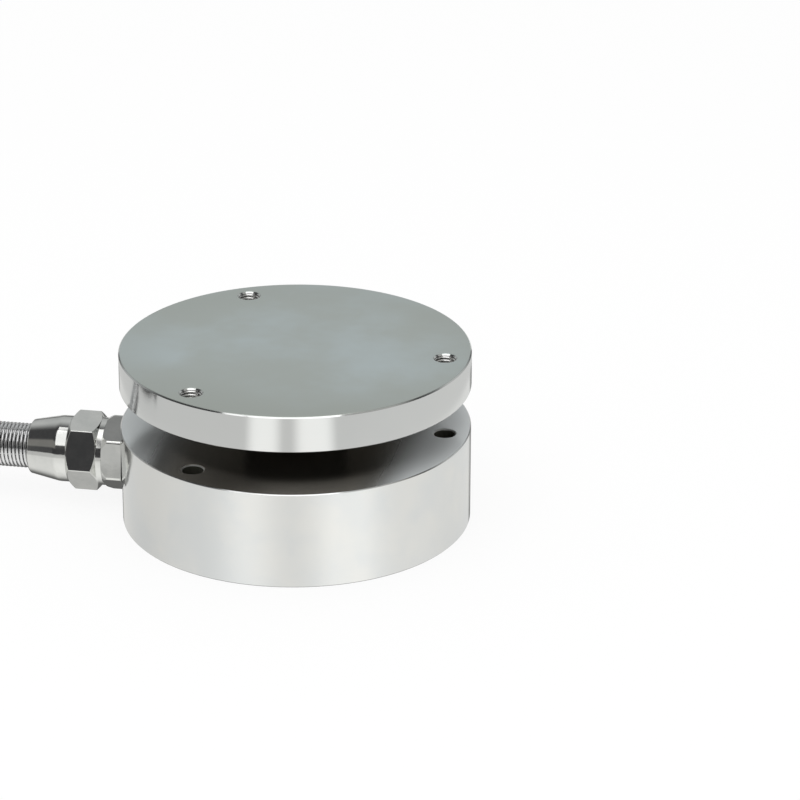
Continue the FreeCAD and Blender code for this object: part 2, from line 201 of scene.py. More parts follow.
steel = Finish("turned_body_steel")
radius = steel.length_across((1, 1, 0))
height = steel.axis("Z")
across = steel.axis("X")
on_top = height > body_top - face_depth
top_face = on_top * (radius < rim_edge)
column = on_top * (radius < column_reach)
rim = (height > body_top - rim_depth) * (radius > rim_edge)
holes = 0
for centre in hole_centres:
    holes = (steel.length_across((1, 1, 0), centre) < hole_reach) + holes
bores = holes * (height < body_top - hole_countersink)
lips = holes * (height < body_top - lip_start) - bores
# Painted light: the top face is made less metallic at its right, left and front edge, so it shows paler
# there.
right_part = steel.step(across, *painted_light_right)
left_part = steel.step(across, *painted_light_left)
front_edge = steel.step(radius, *painted_light_edge) * steel.step(across, *painted_light_front) * (1 - right_part)
painted_light_dullness = 0.05 + 0.82 * right_part + 0.33 * left_part + 0.12 * front_edge
marks = steel.lines(radius + height, turning_pitch)
clouds = steel.step(steel.clouds(0.022, 4.0), 0.34, 0.66)
wall = steel.blend(clouds, (0.80, 0.818, 0.82, 1), (0.868, 0.868, 0.845, 1))
# Painted shade and light: the top face is dark inside the bolt circle, pale and warm towards the rim, and
# grey at its sides.
middle = steel.blend(steel.step(radius, *painted_shade_middle), (0.42, 0.395, 0.345, 1), (0.93, 0.88, 0.78, 1))
top_tone = steel.blend(steel.step(abs(across), *painted_light_sides), middle, (0.77, 0.805, 0.81, 1))
tint = steel.blend(column, steel.blend(top_face, wall, top_tone), column_shade_colour)
steel.show_on(
    nodes["sensing_body"],
    Base_Color=steel.blend(bores + 0.5 * lips, tint, bore_shade_colour),
    Metallic=1 - painted_light_dullness * top_face - 0.4 * lips - 0.6 * bores,
    Roughness=0.1 + 0.04 * clouds + 0.05 * top_face + 0.2 * column + 0.06 * rim + 0.3 * lips,
    Normal=steel.bump(marks * (1 - 0.8 * top_face), 0.000004),
)

# Strain gauges
# Four foil gauges bonded under the diaphragm: an etched constantan grid on amber polyimide film. Thin
# tinned ribbons lead down from each one to the board.

grid_pitch = 0.0005
grid_half_width = 0.0017

film = Finish("gauge_film")
aside = (abs(film.axis("X")) - abs(film.axis("Y"))) * math.sqrt(0.5)
strand = (aside * (2 * math.pi / grid_pitch)).sine()
foil = (strand > 0.1) * (abs(aside) < grid_half_width)
film_clouds = film.clouds(0.002)
amber = film.blend(film_clouds, (0.62, 0.33, 0.06, 1), (0.76, 0.45, 0.11, 1))
film.show_on(
    *[nodes[f"strain_gauge_{number}"] for number in range(1, 5)],
    Base_Color=film.blend(foil, amber, (0.60, 0.52, 0.42, 1)),
    Metallic=foil * 0.9,
    Roughness=0.35 - 0.1 * foil + 0.1 * film_clouds,
    Normal=film.bump(foil, 0.000005),
)

tin = Finish("tinned_copper")
tin_clouds = tin.clouds(0.0012)
tin.show_on(
    *[nodes[name] for name in ("gauge_leads", "terminal_pins", "shield_drain")],
    Base_Color=tin.blend(tin_clouds, (0.70, 0.69, 0.65, 1), (0.80, 0.79, 0.76, 1)),
    Metallic=1.0,
    Roughness=0.22 + 0.2 * tin_clouds,
    Normal=tin.bump(tin_clouds, 0.00002),
)

# Terminal board
# A ring of glass fibre board with green solder resist, seated on the ledge of the rim. Two copper rings
# show through the resist, and four chip resistors trim the bridge.

board_middle = 0.0261
track_rings = [0.0235, 0.0287]
track_half_width = 0.0004
weave_pitch = 0.0004
chip_half_body = 0.0011

resist = Finish("board_resist")
ring = resist.length_across((1, 1, 0))
track = 0
for track_radius in track_rings:
    track = (abs(ring - track_radius) < track_half_width) + track
weave = resist.lines(resist.axis("X"), weave_pitch) * resist.lines(resist.axis("Y"), weave_pitch)
green = resist.blend(weave, (0.035, 0.22, 0.09, 1), (0.06, 0.32, 0.14, 1))
resist.show_on(
    nodes["terminal_board"],
    Base_Color=resist.blend(track * 0.6, green, (0.12, 0.42, 0.16, 1)),
    Roughness=0.32 + 0.15 * weave,
    Normal=resist.bump(track, 0.00003),
)

chip = Finish("chip_resistor")
cap = abs(chip.length_across((1, 1, 0)) - board_middle) > chip_half_body
chip_clouds = chip.clouds(0.0006)
black = chip.blend(chip_clouds, (0.02, 0.02, 0.022, 1), (0.05, 0.05, 0.052, 1))
chip.show_on(
    nodes["trim_resistors"],
    Base_Color=chip.blend(cap, black, (0.74, 0.73, 0.70, 1)),
    Metallic=cap,
    Roughness=0.3 + 0.2 * chip_clouds,
    Normal=chip.bump(chip_clouds, 0.00001),
)

# Cable cores
# Four stranded cores with coloured insulation, stripped of the jacket inside the gland and run to the pins
# of the board. The same insulation shows again on the leads at the far end of the cable.

core_colours = {
    "red": ((0.50, 0.018, 0.018, 1), (0.66, 0.035, 0.03, 1)),
    "black": ((0.013, 0.013, 0.014, 1), (0.026, 0.026, 0.028, 1)),
    "green": ((0.02, 0.27, 0.06, 1), (0.035, 0.38, 0.10, 1)),
    "white": ((0.72, 0.72, 0.69, 1), (0.82, 0.82, 0.79, 1)),
}
insulation = {}
for colour, (dark, light) in core_colours.items():
    sheath = Finish(f"insulation_{colour}")
    streaks = sheath.clouds(0.003)
    grain = sheath.clouds(0.0003)
    sheath.show_on(
        nodes[f"core_{colour}"],
        Base_Color=sheath.blend(streaks, dark, light),
        Roughness=0.36 + 0.16 * grain,
        Normal=sheath.bump(grain, 0.000012),
    )
    insulation[colour] = sheath

# Base cover
# A disc of rolled stainless sheet that closes the gauge channel from below. It is pressed into its recess
# and sealed by a fine laser weld round its edge.

cover_radius = 0.03495
cover_bottom = 0.0003
cover_top = 0.0018
cover_chamfer = 0.0002
cover_edge = 0.00005
cover_sides = 128
weld_radius = 0.00027
weld_circle = 0.03482
weld_ripples = 220
weld_steps = 4
weld_ripple_depth = 0.00003
weld_corners = 8
# Distances within which points are merged, and angles from which an edge is rounded or shaded sharp
outline_merge = 0.0000001
seam_merge = 0.000001
round_angle = math.radians(28)
sharp_angle = math.radians(50)


def only(piece):
    """Makes a piece the selected and active one."""
    bpy.ops.object.select_all(action="DESELECT")
    piece.select_set(True)
    bpy.context.view_layer.objects.active = piece


def draw_outline(name, outline):
    """Closed outline in the XZ plane, drawn corner by corner from one point."""
    bpy.ops.object.select_all(action="DESELECT")
    bpy.ops.mesh.primitive_plane_add(size=0.001)
    piece = bpy.context.object
    piece.name = name
    bpy.ops.object.mode_set(mode="EDIT")
    bpy.ops.mesh.select_mode(type="VERT")
    bpy.ops.mesh.merge(type="CENTER")
    corners = [Vector((across, 0, up)) for across, up in outline]
    bpy.ops.transform.translate(value=corners[0])
    for corner, following in zip(corners, corners[1:] + corners[:1]):
        bpy.ops.mesh.extrude_region_move(TRANSFORM_OT_translate={"value": following - corner})
    bpy.ops.mesh.select_all(action="SELECT")
    bpy.ops.mesh.remove_doubles(threshold=outline_merge)
    return piece


def close_up(piece):
    """Merges the seams of a piece in edit mode, turns its faces outwards and leaves edit mode."""
    bpy.ops.mesh.select_all(action="SELECT")
    bpy.ops.mesh.remove_doubles(threshold=seam_merge)
    bpy.ops.mesh.delete_loose()
    bpy.ops.mesh.select_all(action="SELECT")
    bpy.ops.mesh.normals_make_consistent(inside=False)
    bpy.ops.object.mode_set(mode="OBJECT")


def turn_outline(name, outline, sides):
    """Solid turned about Z from the (radius, height) corners of its outline."""
    piece = draw_outline(name, outline)
    bpy.ops.mesh.spin(steps=sides, angle=2 * math.pi, center=(0, 0, 0), axis=(0, 0, 1))
    close_up(piece)
    return piece


def soften(piece, width, segments=2):
    """Rounds the sharp edges of a piece and shades it smooth, with the normals of its wide faces kept."""
    only(piece)
    bpy.ops.object.modifier_add(type="BEVEL")
    rounding = piece.modifiers[-1]
    rounding.width = width
    rounding.segments = segments
    rounding.limit_method = "ANGLE"
    rounding.angle_limit = round_angle
    bpy.ops.object.modifier_apply(modifier=rounding.name)
    bpy.ops.object.shade_smooth_by_angle(angle=sharp_angle)
    bpy.ops.object.modifier_add(type="WEIGHTED_NORMAL")
    weighting = piece.modifiers[-1]
    weighting.keep_sharp = True
    bpy.ops.object.modifier_apply(modifier=weighting.name)


base_disc = turn_outline("base_disc", [
    (0, cover_top),
    (0, cover_bottom),
    (cover_radius - cover_chamfer, cover_bottom),
    (cover_radius, cover_bottom + cover_chamfer),
    (cover_radius, cover_top),
], cover_sides)
soften(base_disc, cover_edge)
rolled = Finish("rolled_cover_steel")
streaks = rolled.lines(rolled.axis("Y"), 0.0003)
patches = rolled.clouds(0.012)
rolled.show_on(
    base_disc,
    Base_Color=rolled.blend(patches, (0.66, 0.67, 0.67, 1), (0.74, 0.745, 0.74, 1)),
    Metallic=1.0,
    Roughness=0.24 + 0.1 * patches + 0.06 * streaks,
    Normal=rolled.bump(streaks, 0.000006),
)
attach(base_disc, "root")
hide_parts("base_cover")

weld_section = []
for corner in range(weld_corners):
    turn = corner * 2 * math.pi / weld_corners
    weld_section.append((
        weld_circle + weld_radius * math.cos(turn),
        cover_bottom + weld_radius * math.sin(turn),
    ))
cover_weld = turn_outline("cover_weld", weld_section, weld_ripples * weld_steps)
bpy.ops.object.mode_set(mode="EDIT")
bpy.ops.mesh.select_all(action="DESELECT")
bead = bmesh.from_edit_mesh(cover_weld.data)
for point in bead.verts:
    turn = math.atan2(point.co.y, point.co.x) / (2 * math.pi)
    point.select_set(round(turn * weld_ripples * weld_steps) % weld_steps == 0)
bmesh.update_edit_mesh(cover_weld.data)
bpy.ops.transform.shrink_fatten(value=-weld_ripple_depth)
bpy.ops.object.mode_set(mode="OBJECT")
bpy.ops.object.shade_smooth()
weld = Finish("laser_weld")
scale = weld.clouds(0.0009)
weld.show_on(
    cover_weld,
    Base_Color=weld.blend(scale, (0.50, 0.47, 0.42, 1), (0.68, 0.68, 0.67, 1)),
    Metallic=1.0,
    Roughness=0.3 + 0.2 * scale,
    Normal=weld.bump(scale, 0.00001),
)
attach(cover_weld, "root")

# Load plate
# A turned disc screwed onto the body's stud. Its top face is fine turned and satin, its rim is polished,
# and three 6 mm threads are cut through it near the edge, their roots painted dark for the cutting oil
# left there and for the shade in them. Its underside is coloured near black, a painted shade.

plate_low, plate_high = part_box("load_plate")
# Painted shade: the plate's underside is coloured near black for the shade of the gap under it.
underside_shade_colour = (0.05, 0.045, 0.04, 1)
# Stretches over which the top face turns darker, towards the front and towards the rim
darker_front = (-0.012, -0.05)
darker_rim = (0.03, 0.05)

plate_steel = Finish("turned_plate_steel")
radius = plate_steel.length_across((1, 1, 0))
height = plate_steel.axis("Z")
top_face = height > plate_high.z - face_depth
under_face = height < plate_low.z + face_depth
marks = plate_steel.lines(radius + height, turning_pitch)
clouds = plate_steel.clouds(0.03)
smears = plate_steel.step(plate_steel.clouds(0.045, 4.0), 0.35, 0.65)
wall = plate_steel.blend(clouds, (0.79, 0.81, 0.805, 1), (0.86, 0.865, 0.845, 1))
top_tone = plate_steel.blend(smears, (0.68, 0.735, 0.70, 1), (0.76, 0.85, 0.86, 1))
front_darkening = plate_steel.step(plate_steel.axis("Y"), *darker_front)
darkening = 0.6 * front_darkening + 0.4 * plate_steel.step(radius, *darker_rim)
top_tone = plate_steel.blend(darkening, top_tone, (0.62, 0.66, 0.615, 1))
tint = plate_steel.blend(top_face, wall, top_tone)
plate_steel.show_on(
    nodes["load_plate"],
    Base_Color=plate_steel.blend(under_face, tint, underside_shade_colour),
    Metallic=1.0,
    Roughness=0.08 + 0.05 * clouds + 0.2 * top_face + 0.22 * under_face,
    Normal=plate_steel.bump(marks, 0.000002),
)

thread_pitch = 0.001
thread_crest = 0.00262
thread_root = 0.00304
thread_root_half = 0.00044
thread_outline_steps = 8
thread_turns = 11
thread_sides = 36
thread_start = plate_low.z - thread_pitch / 2
thread_overlap = 0.0001
helix_sharp_angle = math.radians(40)
bore_sides = 64
grime_and_shade_start = 0.00016
grime_and_shade_full = 0.00036

thread_outline = []
for step in range(thread_outline_steps + 1):
    along = (2 * step / thread_outline_steps - 1) * thread_root_half
    ridge = (1 + math.cos(math.pi * along / thread_root_half)) / 2
    thread_outline.append((thread_root + (thread_crest - thread_root) * ridge, thread_start + along))


def wind(name, section, pitch, turns, steps):
    """Closed section in the XZ plane wound about Z into a helix with flat ends."""
    piece = draw_outline(name, section)
    bpy.ops.object.mode_set(mode="OBJECT")
    bpy.ops.object.modifier_add(type="SCREW")
    winding = piece.modifiers[-1]
    winding.steps = steps
    winding.render_steps = steps
    winding.screw_offset = pitch
    winding.iterations = turns
    bpy.ops.object.modifier_apply(modifier=winding.name)
    bpy.ops.object.mode_set(mode="EDIT")
    bpy.ops.mesh.select_mode(type="EDGE")
    bpy.ops.mesh.select_all(action="DESELECT")
    bpy.ops.mesh.select_non_manifold()
    bpy.ops.mesh.fill()
    close_up(piece)
    return piece


def keep_inside(piece, envelope):
    """Cuts a piece down to what it has in common with an envelope, which is used up."""
    only(piece)
    bpy.ops.object.modifier_add(type="BOOLEAN")
    cutting = piece.modifiers[-1]
    cutting.operation = "INTERSECT"
    cutting.solver = "EXACT"
    cutting.object = envelope
    bpy.ops.object.modifier_apply(modifier=cutting.name)
    only(envelope)
    bpy.ops.object.delete()
    only(piece)
    bpy.ops.object.mode_set(mode="EDIT")
    close_up(piece)


def put(piece, place, turn=(0, 0, 0)):
    """Turns a piece about the origin, then moves it. Its new place is kept in its mesh."""
    only(piece)
    piece.rotation_euler = turn
    piece.location = place
    bpy.ops.object.transform_apply(location=True, rotation=True, scale=True)


plate_thread = wind("plate_thread", thread_outline, thread_pitch, thread_turns, thread_sides)
thread_core = thread_crest - thread_overlap
thread_outside = thread_root + thread_overlap
cone_depth = thread_outside - thread_core
keep_inside(plate_thread, turn_outline("bored_hole", [
    (thread_core, plate_low.z + hole_countersink + cone_depth),
    (thread_outside, plate_low.z + hole_countersink),
    (thread_outside, plate_high.z - hole_countersink),
    (thread_core, plate_high.z - hole_countersink - cone_depth),
], bore_sides))
bpy.ops.object.shade_smooth_by_angle(angle=helix_sharp_angle)
cut_steel = Finish("cut_thread_steel")
scores = cut_steel.lines(cut_steel.axis("Z"), 0.00005)
from_axis = cut_steel.length_across((1, 1, 0), hole_centres[0])
for centre in hole_centres[1:]:
    from_axis = from_axis.smaller(cut_steel.length_across((1, 1, 0), centre))
# Painted shade and cutting oil: the roots of the threads are darker than their crests.
grime_and_shade = cut_steel.step(from_axis, thread_crest + grime_and_shade_start, thread_crest + grime_and_shade_full)
bright = cut_steel.blend(scores, (0.88, 0.88, 0.86, 1), (0.94, 0.94, 0.93, 1))
cut_steel.show_on(
    plate_thread,
    Base_Color=cut_steel.blend(grime_and_shade, bright, (0.10, 0.095, 0.09, 1)),
    Metallic=1.0,
    Roughness=0.2 + 0.1 * scores,
    Normal=cut_steel.bump(scores, 0.000001),
)
plate_threads = [plate_thread]
for _ in hole_centres[1:]:
    only(plate_thread)
    bpy.ops.object.duplicate()
    plate_threads.append(bpy.context.object)
for number, (thread, centre) in enumerate(zip(plate_threads, hole_centres), start=1):
    thread.name = f"plate_thread_{number}"
    put(thread, centre)
    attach(thread, "root")

# Cable gland
# Hexagon body and compression nut, each turned from a hexagonal brass bar and nickel plated. The body
# screws into the cell on a rubber washer, and inside the nut a slit ring presses a rubber seal on the cable.

gland_height = 0.0145
gland_thread = 0.00795
gland_bore = 0.0034
seal_pocket = 0.0055
seal_pocket_depth = 0.0055
shank_end = 0.0397
body_seat = 0.0494
nut_seat = 0.0554
neck_end = 0.0635
thread_chamfer = 0.0006
body_flats = 0.0194
body_corner_angle = math.radians(8)
body_back_chamfer = 0.0005
body_front_chamfer = 0.0011
body_front_run = 0.002
nut_flats = 0.020
nut_face = 0.0098
nut_face_end = 0.057
nut_back_run = 0.0013
nut_front_run = 0.0014
nut_corner_angle = math.radians(21)
nut_thread = 0.008
nut_taper_start = 0.064
nut_passage = 0.0044
nut_passage_start = 0.0676
nut_collar = 0.0096
nut_collar_start = 0.066
nut_cone_start = 0.0693
nut_cone_blend = 0.0006
nut_cone_steps = 6
nut_mouth = 0.0079
nut_end = 0.078
nut_mouth_chamfer = 0.0003
spring_socket = 0.0066
spring_seat = 0.0696
body_edge = 0.0006
nut_edge = 0.00022
turned_edge = 0.0001
turned_sides = 120
corner_margin = 0.00002
bar_overhang = 0.001


def lay_along_gland(piece):
    """Lays a piece that was made along Z on the gland's axis, with its top away from the cell."""
    put(piece, (0, 0, gland_height), (0, -math.pi / 2, 0))


def cut_from_hexagon(name, flats, corner_angle, edge, outline):
    """Piece turned from a hexagonal bar with round edges: what the bar and the outline have in common."""
    first = min(up for _, up in outline)
    last = max(up for _, up in outline)
    first_corner = math.radians(30)
    turned = turn_outline(f"{name}_turned", outline, turned_sides)
    bpy.ops.object.select_all(action="DESELECT")
    bpy.ops.mesh.primitive_cylinder_add(
        vertices=6,
        radius=flats / math.sqrt(3),
        depth=last - first + 2 * bar_overhang,
        location=(0, 0, (first + last) / 2),
        rotation=(0, 0, corner_angle - first_corner),
    )
    bar = bpy.context.object
    bar.name = name
    bpy.ops.object.transform_apply(location=True, rotation=True, scale=True)
    soften(bar, edge, segments=4)
    keep_inside(bar, turned)
    soften(bar, turned_edge)
    lay_along_gland(bar)
    return bar


body_corner = body_flats / math.sqrt(3) + corner_margin
hexagon_body = cut_from_hexagon("hexagon_body", body_flats, body_corner_angle, body_edge, [
    (gland_bore, shank_end),
    (gland_thread - thread_chamfer, shank_end),
    (gland_thread, shank_end + thread_chamfer),
    (gland_thread, body_seat),
    (body_corner - body_back_chamfer, body_seat),
    (body_corner, body_seat + body_back_chamfer),
    (body_corner, nut_seat - body_front_run),
    (body_corner - body_front_chamfer, nut_seat),
    (gland_thread, nut_seat),
    (gland_thread, neck_end - thread_chamfer),
    (gland_thread - thread_chamfer, neck_end),
    (seal_pocket, neck_end),
    (seal_pocket, neck_end - seal_pocket_depth),
    (gland_bore, neck_end - seal_pocket_depth),
])
nut_corner = nut_flats / math.sqrt(3) + corner_margin
cone_slope = (nut_collar - nut_mouth) / (nut_end - nut_mouth_chamfer - nut_cone_start)
cone_outline = []
for step in range(nut_cone_steps + 1):
    share = step / nut_cone_steps
    along_blend = (2 * share - 1) * nut_cone_blend
    sink = cone_slope * nut_cone_blend * share * share
    cone_outline.append((nut_collar - sink, nut_cone_start + along_blend))
compression_nut = cut_from_hexagon("compression_nut", nut_flats, nut_corner_angle, nut_edge, [
    (nut_thread, nut_seat),
    (nut_face, nut_seat),
    (nut_face, nut_face_end),
    (nut_corner, nut_face_end + nut_back_run),
    (nut_corner, nut_collar_start - nut_front_run),
    (nut_collar, nut_collar_start),
    *cone_outline,
    (nut_mouth, nut_end - nut_mouth_chamfer),
    (nut_mouth - nut_mouth_chamfer, nut_end),
    (spring_socket, nut_end),
    (spring_socket, spring_seat),
    (nut_passage, spring_seat),
    (nut_passage, nut_passage_start),
    (nut_thread, nut_taper_start),
])
nickel = Finish("bright_nickel")
haze = 0.5 * nickel.step(nickel.clouds(0.006), 0.35, 0.65) + 0.5 * nickel.clouds(0.0012)
nickel.show_on(
    hexagon_body,
    compression_nut,
    Base_Color=nickel.blend(haze, (0.68, 0.69, 0.67, 1), (0.80, 0.80, 0.775, 1)),
    Metallic=1.0,
    Roughness=0.06 + 0.08 * haze,
    Normal=nickel.bump(nickel.clouds(0.0006), 0.000001),
)
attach(hexagon_body, "root")
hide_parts("gland_body")
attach(compression_nut, "root")
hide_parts("gland_nut")

rubber = Finish("black_rubber")
bloom = rubber.clouds(0.002)
rubber.show_on(
    nodes["gland_washer"],
    nodes["gland_seal"],
    Base_Color=rubber.blend(bloom, (0.014, 0.014, 0.014, 1), (0.032, 0.031, 0.03, 1)),
    Roughness=0.6 + 0.15 * bloom,
    Normal=rubber.bump(rubber.clouds(0.0003), 0.00001),
)
nylon = Finish("natural_nylon")
flow = nylon.clouds(0.003)
nylon.show_on(
    nodes["clamp_ring"],
    Base_Color=nylon.blend(flow, (0.50, 0.50, 0.46, 1), (0.60, 0.60, 0.56, 1)),
    Roughness=0.4 + 0.15 * flow,
    Normal=nylon.bump(flow, 0.00001),
)

# Guard spring
# Close-wound spring of bright stainless wire, seated in the nut's mouth. It keeps the cable from being bent
# sharply where it leaves the gland.

spring_pitch = 0.00113
spring_inside = 0.0055
spring_outside = 0.0065
spring_half_width = 0.00043
spring_corner = 0.0004
spring_corner_steps = 3
spring_turns = 32
spring_sides = 40

wire_section = []
for middle_radius, middle_height, first_degree in [
    (spring_outside - spring_corner, spring_half_width - spring_corner, 0),
    (spring_inside + spring_corner, spring_half_width - spring_corner, 90),
    (spring_inside + spring_corner, spring_corner - spring_half_width, 180),
    (spring_outside - spring_corner, spring_corner - spring_half_width, 270),
]:
    for step in range(spring_corner_steps + 1):
        turn = math.radians(first_degree + step * 90 / spring_corner_steps)
        wire_section.append((
            middle_radius + spring_corner * math.cos(turn),
            spring_seat + spring_pitch / 2 + middle_height + spring_corner * math.sin(turn),
        ))
wire_spring = wind("wire_spring", wire_section, spring_pitch, spring_turns, spring_sides)
bpy.ops.object.shade_smooth_by_angle(angle=helix_sharp_angle)
lay_along_gland(wire_spring)
drawn = Finish("drawn_wire")
draw_marks = drawn.clouds(0.0007)
drawn.show_on(
    wire_spring,
    Base_Color=drawn.blend(draw_marks, (0.74, 0.745, 0.75, 1), (0.84, 0.84, 0.84, 1)),
    Metallic=1.0,
    Roughness=0.1 + 0.12 * draw_marks,
    Normal=drawn.bump(draw_marks, 0.000003),
)
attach(wire_spring, "root")
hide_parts("guard_spring")

# Cable
# Black round cable with a satin plastic jacket. It leaves the guard spring, comes down to the table and is
# wound into a neat coil: inwards on the table, outwards on top of that, then inwards again.

jacket_radius = 0.00275
jacket_diameter = 2 * jacket_radius
cable_route = [
    (-0.1068, 0.0, 0.0145),
    (-0.1228, 0.0, 0.0145),
    (-0.141, 0.008, 0.009),
    (-0.160, 0.021, 0.0042),
]
coil_centre = Vector((-0.185, -0.0153, 0))
coil_entry = math.radians(55.6)
coil_outer_turn = 0.044
coil_floor = 0.0012
full_turn = 2 * math.pi
points_per_turn = 24
end_tangent = 0.0275
end_angle = math.radians(240)
end_reach = [-0.004, 0.002, 0.008]
# Each leg of the coil: its turns, then how far it moves out and up, in cable diameters
coil_legs = [
    (4.0, -4.0, 0.0),
    (0.29, 0.0, 1.0),
    (4.0, 4.0, 0.0),
    (0.29, 0.0, 1.0),
    (2.6, -2.6, 0.0),
    (0.309, -0.309, 1.1),
]


def smooth_wire(name, points, radius):
    """Round wire or cable along one NURBS curve with the points as its control points."""
    curve = bpy.data.curves.new(name, "CURVE")
    curve.dimensions = "3D"
    curve.bevel_depth = radius
    curve.bevel_resolution = 6
    curve.resolution_u = 3
    curve.use_fill_caps = True
    spline = curve.splines.new("NURBS")
    spline.points.add(len(points) - 1)
    for control, point in zip(spline.points, points):
        control.co = (*point, 1)
    spline.order_u = 3
    spline.use_endpoint_u = True
    wire = bpy.data.objects.new(name, curve)
    bpy.context.scene.collection.objects.link(wire)
    return wire


def ease(share):
    """Smooth rise from 0 to 1."""
    return share * share * (3 - 2 * share)


cable_points = [Vector(point) for point in cable_route]
leg_angle = coil_entry
leg_radius = coil_outer_turn
leg_height = coil_floor + jacket_radius
for turns, outwards, upwards in coil_legs:
    steps = round(turns * points_per_turn)
    for step in range(1, steps + 1):
        share = step / steps
        angle = leg_angle + share * turns * full_turn
        middle_radius = leg_radius + share * outwards * jacket_diameter
        reach = middle_radius / math.cos(math.pi / points_per_turn)
        rise = ease(share) * upwards * jacket_diameter
        place = Vector((reach * math.cos(angle), reach * math.sin(angle), leg_height + rise))
        cable_points.append(coil_centre + place)
    leg_angle += turns * full_turn
    leg_radius += outwards * jacket_diameter
    leg_height += upwards * jacket_diameter
along_end = Vector((-math.sin(end_angle), math.cos(end_angle), 0))
across_end = Vector((math.cos(end_angle), math.sin(end_angle), 0))
end_height = Vector((0, 0, leg_height))
for reach in end_reach:
    cable_points.append(coil_centre + across_end * end_tangent + along_end * reach + end_height)
signal_cable = smooth_wire("signal_cable", cable_points, jacket_radius)

jacket = Finish("cable_jacket")
grain = jacket.clouds(0.0009)
jacket.show_on(
    signal_cable,
    nodes["cable_inlet"],
    Base_Color=jacket.blend(jacket.clouds(0.02), (0.012, 0.012, 0.013, 1), (0.022, 0.022, 0.023, 1)),
    Roughness=0.42 + 0.12 * grain,
    Normal=jacket.bump(grain, 0.00002),
)
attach(signal_cable, "root")
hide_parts("cable", "cable_coil", "cable_end")

# Cable ties
# Two black nylon straps hold the coil. The strap has a raised edge on both sides, goes round the turns and
# through a locking head on the outside, and its toothed tail is cut off short.

tie_width = 0.0036
tie_thickness = 0.001
tie_inside = (0.0187, 0.0473)
tie_bottom, tie_top = 0.001, 0.0179
tie_corner = 0.00295
tie_corner_segments = 6
tie_edge = 0.0005
tie_groove = 0.0002
tie_round = 0.00012
head_reach = 0.0036
head_width = 0.0054
head_height = 0.005
head_wall = 0.0009
head_pocket = 0.0012
head_round = 0.00025
tail_reach = (0.0485, 0.0495)
tail_width = 0.0034
tail_length = 0.0026
tooth_count = 5
tooth_height = 0.0002
tie_angles = [math.radians(150), math.radians(330)]
tie_middle = (tie_bottom + tie_top) / 2


def sized_cube(name, low, high):
    """Cube stretched between two corners, left in edit mode."""
    bpy.ops.object.select_all(action="DESELECT")
    bpy.ops.mesh.primitive_cube_add(size=1)
    piece = bpy.context.object
    piece.name = name
    piece.location = (Vector(low) + Vector(high)) / 2
    piece.scale = Vector(high) - Vector(low)
    bpy.ops.object.transform_apply(location=True, rotation=True, scale=True)
    bpy.ops.object.mode_set(mode="EDIT")
    bpy.ops.mesh.select_mode(type="FACE")
    return piece


def pick_faces(piece, wanted):
    """Selects in edit mode only the faces that are wanted."""
    bpy.ops.mesh.select_all(action="DESELECT")
    shape = bmesh.from_edit_mesh(piece.data)
    for face in shape.faces:
        face.select_set(wanted(face))
    bmesh.update_edit_mesh(piece.data)


def join(first, *others):
    """Joins other pieces into the first one."""
    only(first)
    for other in others:
        other.select_set(True)
    bpy.ops.object.join()


strap = draw_outline("strap", [
    (tie_inside[0], tie_bottom),
    (tie_inside[1], tie_bottom),
    (tie_inside[1], tie_top),
    (tie_inside[0], tie_top),
])
bpy.ops.mesh.edge_face_add()
bpy.ops.mesh.bevel(offset=tie_corner, segments=tie_corner_segments, affect="VERTICES")
bpy.ops.mesh.delete(type="ONLY_FACE")
bpy.ops.mesh.select_all(action="SELECT")
bpy.ops.transform.translate(value=(0, -tie_width / 2, 0))
bpy.ops.mesh.extrude_region_move(TRANSFORM_OT_translate={"value": (0, tie_width, 0)})
close_up(strap)
bpy.ops.object.modifier_add(type="SOLIDIFY")
band = strap.modifiers[-1]
band.thickness = tie_thickness
band.offset = 1
band.use_even_offset = True
bpy.ops.object.modifier_apply(modifier=band.name)
strap_middle = Vector(((tie_inside[0] + tie_inside[1]) / 2, 0, tie_middle))


def on_strap_outside(face):
    """Tells whether a face is on the strap's outer side."""
    away = face.calc_center_median() - strap_middle
    return abs(face.normal.y) < 0.5 and face.normal.dot(away) > 0


bpy.ops.object.mode_set(mode="EDIT")
bpy.ops.mesh.select_mode(type="FACE")
pick_faces(strap, on_strap_outside)
bpy.ops.mesh.inset(thickness=tie_edge, depth=-tie_groove)
bpy.ops.object.mode_set(mode="OBJECT")

lock = sized_cube(
    "lock",
    (tie_inside[1], -head_width / 2, tie_middle - head_height / 2),
    (tie_inside[1] + head_reach, head_width / 2, tie_middle + head_height / 2),
)
pick_faces(lock, lambda face: abs(face.normal.z) > 0.9)
bpy.ops.mesh.inset(thickness=head_wall, depth=-head_pocket, use_individual=True)
bpy.ops.object.mode_set(mode="OBJECT")
soften(lock, head_round, segments=3)

tail_foot = tie_middle + head_height / 2 - head_pocket
tail_top = tie_middle + head_height / 2 + tail_length
tail = sized_cube(
    "tail",
    (tail_reach[0], -tail_width / 2, tail_foot),
    (tail_reach[1], tail_width / 2, tail_top),
)
tooth_pitch = (tail_top - tail_foot) / (2 * tooth_count)
for step in range(1, 2 * tooth_count):
    bpy.ops.mesh.select_all(action="SELECT")
    bpy.ops.mesh.bisect(plane_co=(0, 0, tail_foot + step * tooth_pitch), plane_no=(0, 0, 1))


def on_tooth(face):
    """Tells whether a face is one that a tooth of the tail rises from."""
    step = int((face.calc_center_median().z - tail_foot) / tooth_pitch)
    return face.normal.x < -0.9 and step % 2 == 1


pick_faces(tail, on_tooth)
bpy.ops.mesh.extrude_region_move(TRANSFORM_OT_translate={"value": (-tooth_height, 0, 0)})
close_up(tail)

